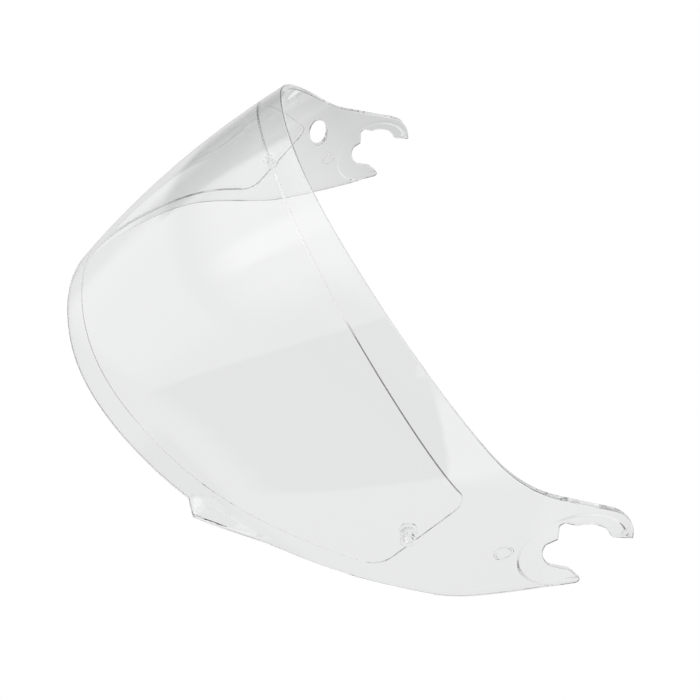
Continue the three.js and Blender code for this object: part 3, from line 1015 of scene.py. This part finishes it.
def studio_light(tree, direction):
    """What the plastic mirrors: how bright the studio's soft boxes and walls are in a direction.

    Angles are in degrees, azimuth from +X towards +Y and elevation from level.
    """
    azimuth, elevation = bearings(tree, direction)
    light = azimuth * 0 + ROOM

    # Soft boxes to the left of the face, and a light behind the shell's far side
    high_left = elevation.step(-15, -4) * azimuth.step(-153, -148) * azimuth.step(-70, -105)
    light = light + high_left * 1.05
    strip = azimuth.between(-125, -114, 3) * elevation.step(-13, -3) * elevation.step(14, 8)
    light = light + strip * 0.95
    low_left = elevation.between(-33, -14, 2) * azimuth.step(-162, -150) * azimuth.step(-80, -100)
    light = light + low_left * 0.5
    rim_light = elevation.step(2.5, 6) * azimuth.between(-150, -42, 3)
    light = light + rim_light * (strip * -1 + 1) * 0.5
    far_right = azimuth.step(100, 122) * azimuth.step(160, 140)
    light = light + far_right * 0.35

    # A window to the right, above the two edges of the dark panel further down
    steep = (elevation + azimuth * 0.45).step(-15.8, -16.8)
    line = (elevation + azimuth * 0.27).step(-8.5, -10.5)
    above = (line * steep * -1 + 1) * elevation.step(-19, -15)
    window = azimuth.between(-31, 46, 3) * above * elevation.step(45, 30)
    low_right = azimuth.step(2, 12) * elevation.step(-12, -14.5)
    light = light + window * 0.95 * (low_right * -0.6 + 1)

    # Walls that stand dark to both sides and behind
    side_wall = azimuth.step(-150, -153) * elevation.between(-16, 12, 1.5)
    behind = azimuth.step(160, 182) * elevation.between(-16, 12, 1.5)
    light = light * (side_wall * -1 + 1) * (behind * -0.8 + 1)
    arm_wall = azimuth.step(46, 56) * azimuth.step(94, 82) * elevation.between(-24, 10, 3)
    far_wall = azimuth.between(90, 120, 6) * elevation.between(-24, 10, 3)
    light = light * (arm_wall * -1 + 1) * (far_wall * -0.6 + 1)

    # The dark panel mirrored in the middle of the face, with its slanting edges
    left_edge = (azimuth - elevation * 0.62).step(-63, -60)
    low_edge = elevation.step(-36, -30)
    right_edge = (azimuth * 0.55 - elevation).step(17.5, 14.5)
    panel = line * steep * left_edge * low_edge * right_edge
    light = light * (panel * -0.97 + 1)

    # Shade under the face, and a dark ceiling
    under = elevation.step(-37.5, -39.5) * azimuth.between(-66, 18, 6)
    return light * (under * -0.75 + 1) * (elevation.step(46, 58) * -0.9 + 1)


def studio_behind(tree, direction):
    """How bright the studio is in a direction when it is looked at through the plastic."""
    azimuth, elevation = bearings(tree, direction)
    overhead = elevation.step(24, 36)
    right_wall = azimuth.between(10, 60, 3) * elevation.step(-14, -6)
    dark_ceiling = overhead * azimuth.between(60, 140, 3)
    lit = (right_wall * -1 + 1) * (dark_ceiling * -0.8 + 1)
    overhead_light = overhead * azimuth.step(139, 145) * OVERHEAD_GAIN
    return overhead_light + lit * WALL_LOSS + (THROUGH - WALL_LOSS)


def build_world():
    world = bpy.data.worlds.new("studio")
    bpy.context.scene.world = world
    tree = emptied(world)
    nodes, links = tree.nodes, tree.links
    output = nodes.new("ShaderNodeOutputWorld")
    white, through, mirrored = (nodes.new("ShaderNodeBackground") for _ in range(3))
    direction = nodes.new("ShaderNodeTexCoord").outputs["Generated"]
    links.new(studio_light(tree, direction).value, mirrored.inputs["Strength"])
    links.new(studio_behind(tree, direction).value, through.inputs["Strength"])
    for shader in (white, through, mirrored):
        shader.inputs["Color"].default_value = WHITE
    path = nodes.new("ShaderNodeLightPath")
    last = white
    for ray, shader in (("Is Transmission Ray", through), ("Is Reflection Ray", mirrored)):
        mix = nodes.new("ShaderNodeMixShader")
        links.new(path.outputs[ray], mix.inputs[0])
        links.new(last.outputs[0], mix.inputs[1])
        links.new(shader.outputs[0], mix.inputs[2])
        last = mix
    links.new(last.outputs[0], output.inputs["Surface"])


def build_floor():
    """A white floor, which seen through the plastic is as the background, with painted shade making it
    darker some way off.
    """
    corners = [(x, y, FLOOR_HEIGHT) for x, y in rectangle(FLOOR_REACH, FLOOR_REACH)]
    floor = make_mesh("floor", corners, [[0, 1, 2, 3]])
    material = bpy.data.materials.new("pale_floor")
    tree = emptied(material)
    output = tree.nodes.new("ShaderNodeOutputMaterial")
    glow = tree.nodes.new("ShaderNodeEmission")
    glow.inputs["Color"].default_value = WHITE
    path = tree.nodes.new("ShaderNodeLightPath")
    place = tree.nodes.new("ShaderNodeTexCoord")
    away = tree.nodes.new("ShaderNodeVectorMath")
    away.operation = "LENGTH"
    tree.links.new(place.outputs["Object"], away.inputs[0])
    metres = Field(tree, away.outputs["Value"])
    # Painted shade: rays through the plastic see the floor glow dimmer, and dimmer still some way off
    sets_in, ends = ([place * MM for place in places] for places in (FLOOR_SHADE_START, FLOOR_SHADE_END))
    shade = metres.step(*sets_in) * metres.step(*ends) * FLOOR_PAINTED_SHADE + (1 - THROUGH)
    level = Field(tree, path.outputs["Is Transmission Ray"]) * shade * -1 + 1
    tree.links.new(level.value, glow.inputs["Strength"])
    tree.links.new(glow.outputs[0], output.inputs["Surface"])
    floor.data.materials.append(material)
    floor.visible_glossy = False


def build_camera():
    data = bpy.data.cameras.new("camera")
    data.lens = LENS
    data.sensor_width = SENSOR
    data.clip_start = CLIP_START * MM
    camera = bpy.data.objects.new("camera", data)
    bpy.context.scene.collection.objects.link(camera)
    turn = Matrix((CAMERA_RIGHT, -CAMERA_DOWN, -CAMERA_FORWARD)).transposed().to_4x4()
    camera.matrix_world = Matrix.Translation(CAMERA_PLACE * MM) @ turn
    bpy.context.scene.camera = camera


build_camera()
build_world()
build_floor()
bpy.context.scene.view_settings.view_transform = "Standard"

# Light has to pass many faces of clear plastic, and its sharp mirror images stay sharp
light_paths = bpy.context.scene.cycles
light_paths.max_bounces = LIGHT_BOUNCES
light_paths.glossy_bounces = LIGHT_BOUNCES
light_paths.transmission_bounces = LIGHT_BOUNCES
light_paths.blur_glossy = 0

shell = build_shell()
shell.data.materials.append(shell_material())
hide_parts("visor_shell")
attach(shell, "shell")
plastic = pin_material()
for side_name, side in (("left", 1), ("right", -1)):
    for build, node in ((build_spool, "_eccentric_pin"), (build_cap, "_pin_cap")):
        piece = build(side_name, side)
        piece.data.materials.clear()
        piece.data.materials.append(plastic)
        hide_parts(side_name + node)
        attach(piece, side_name + "_pin")
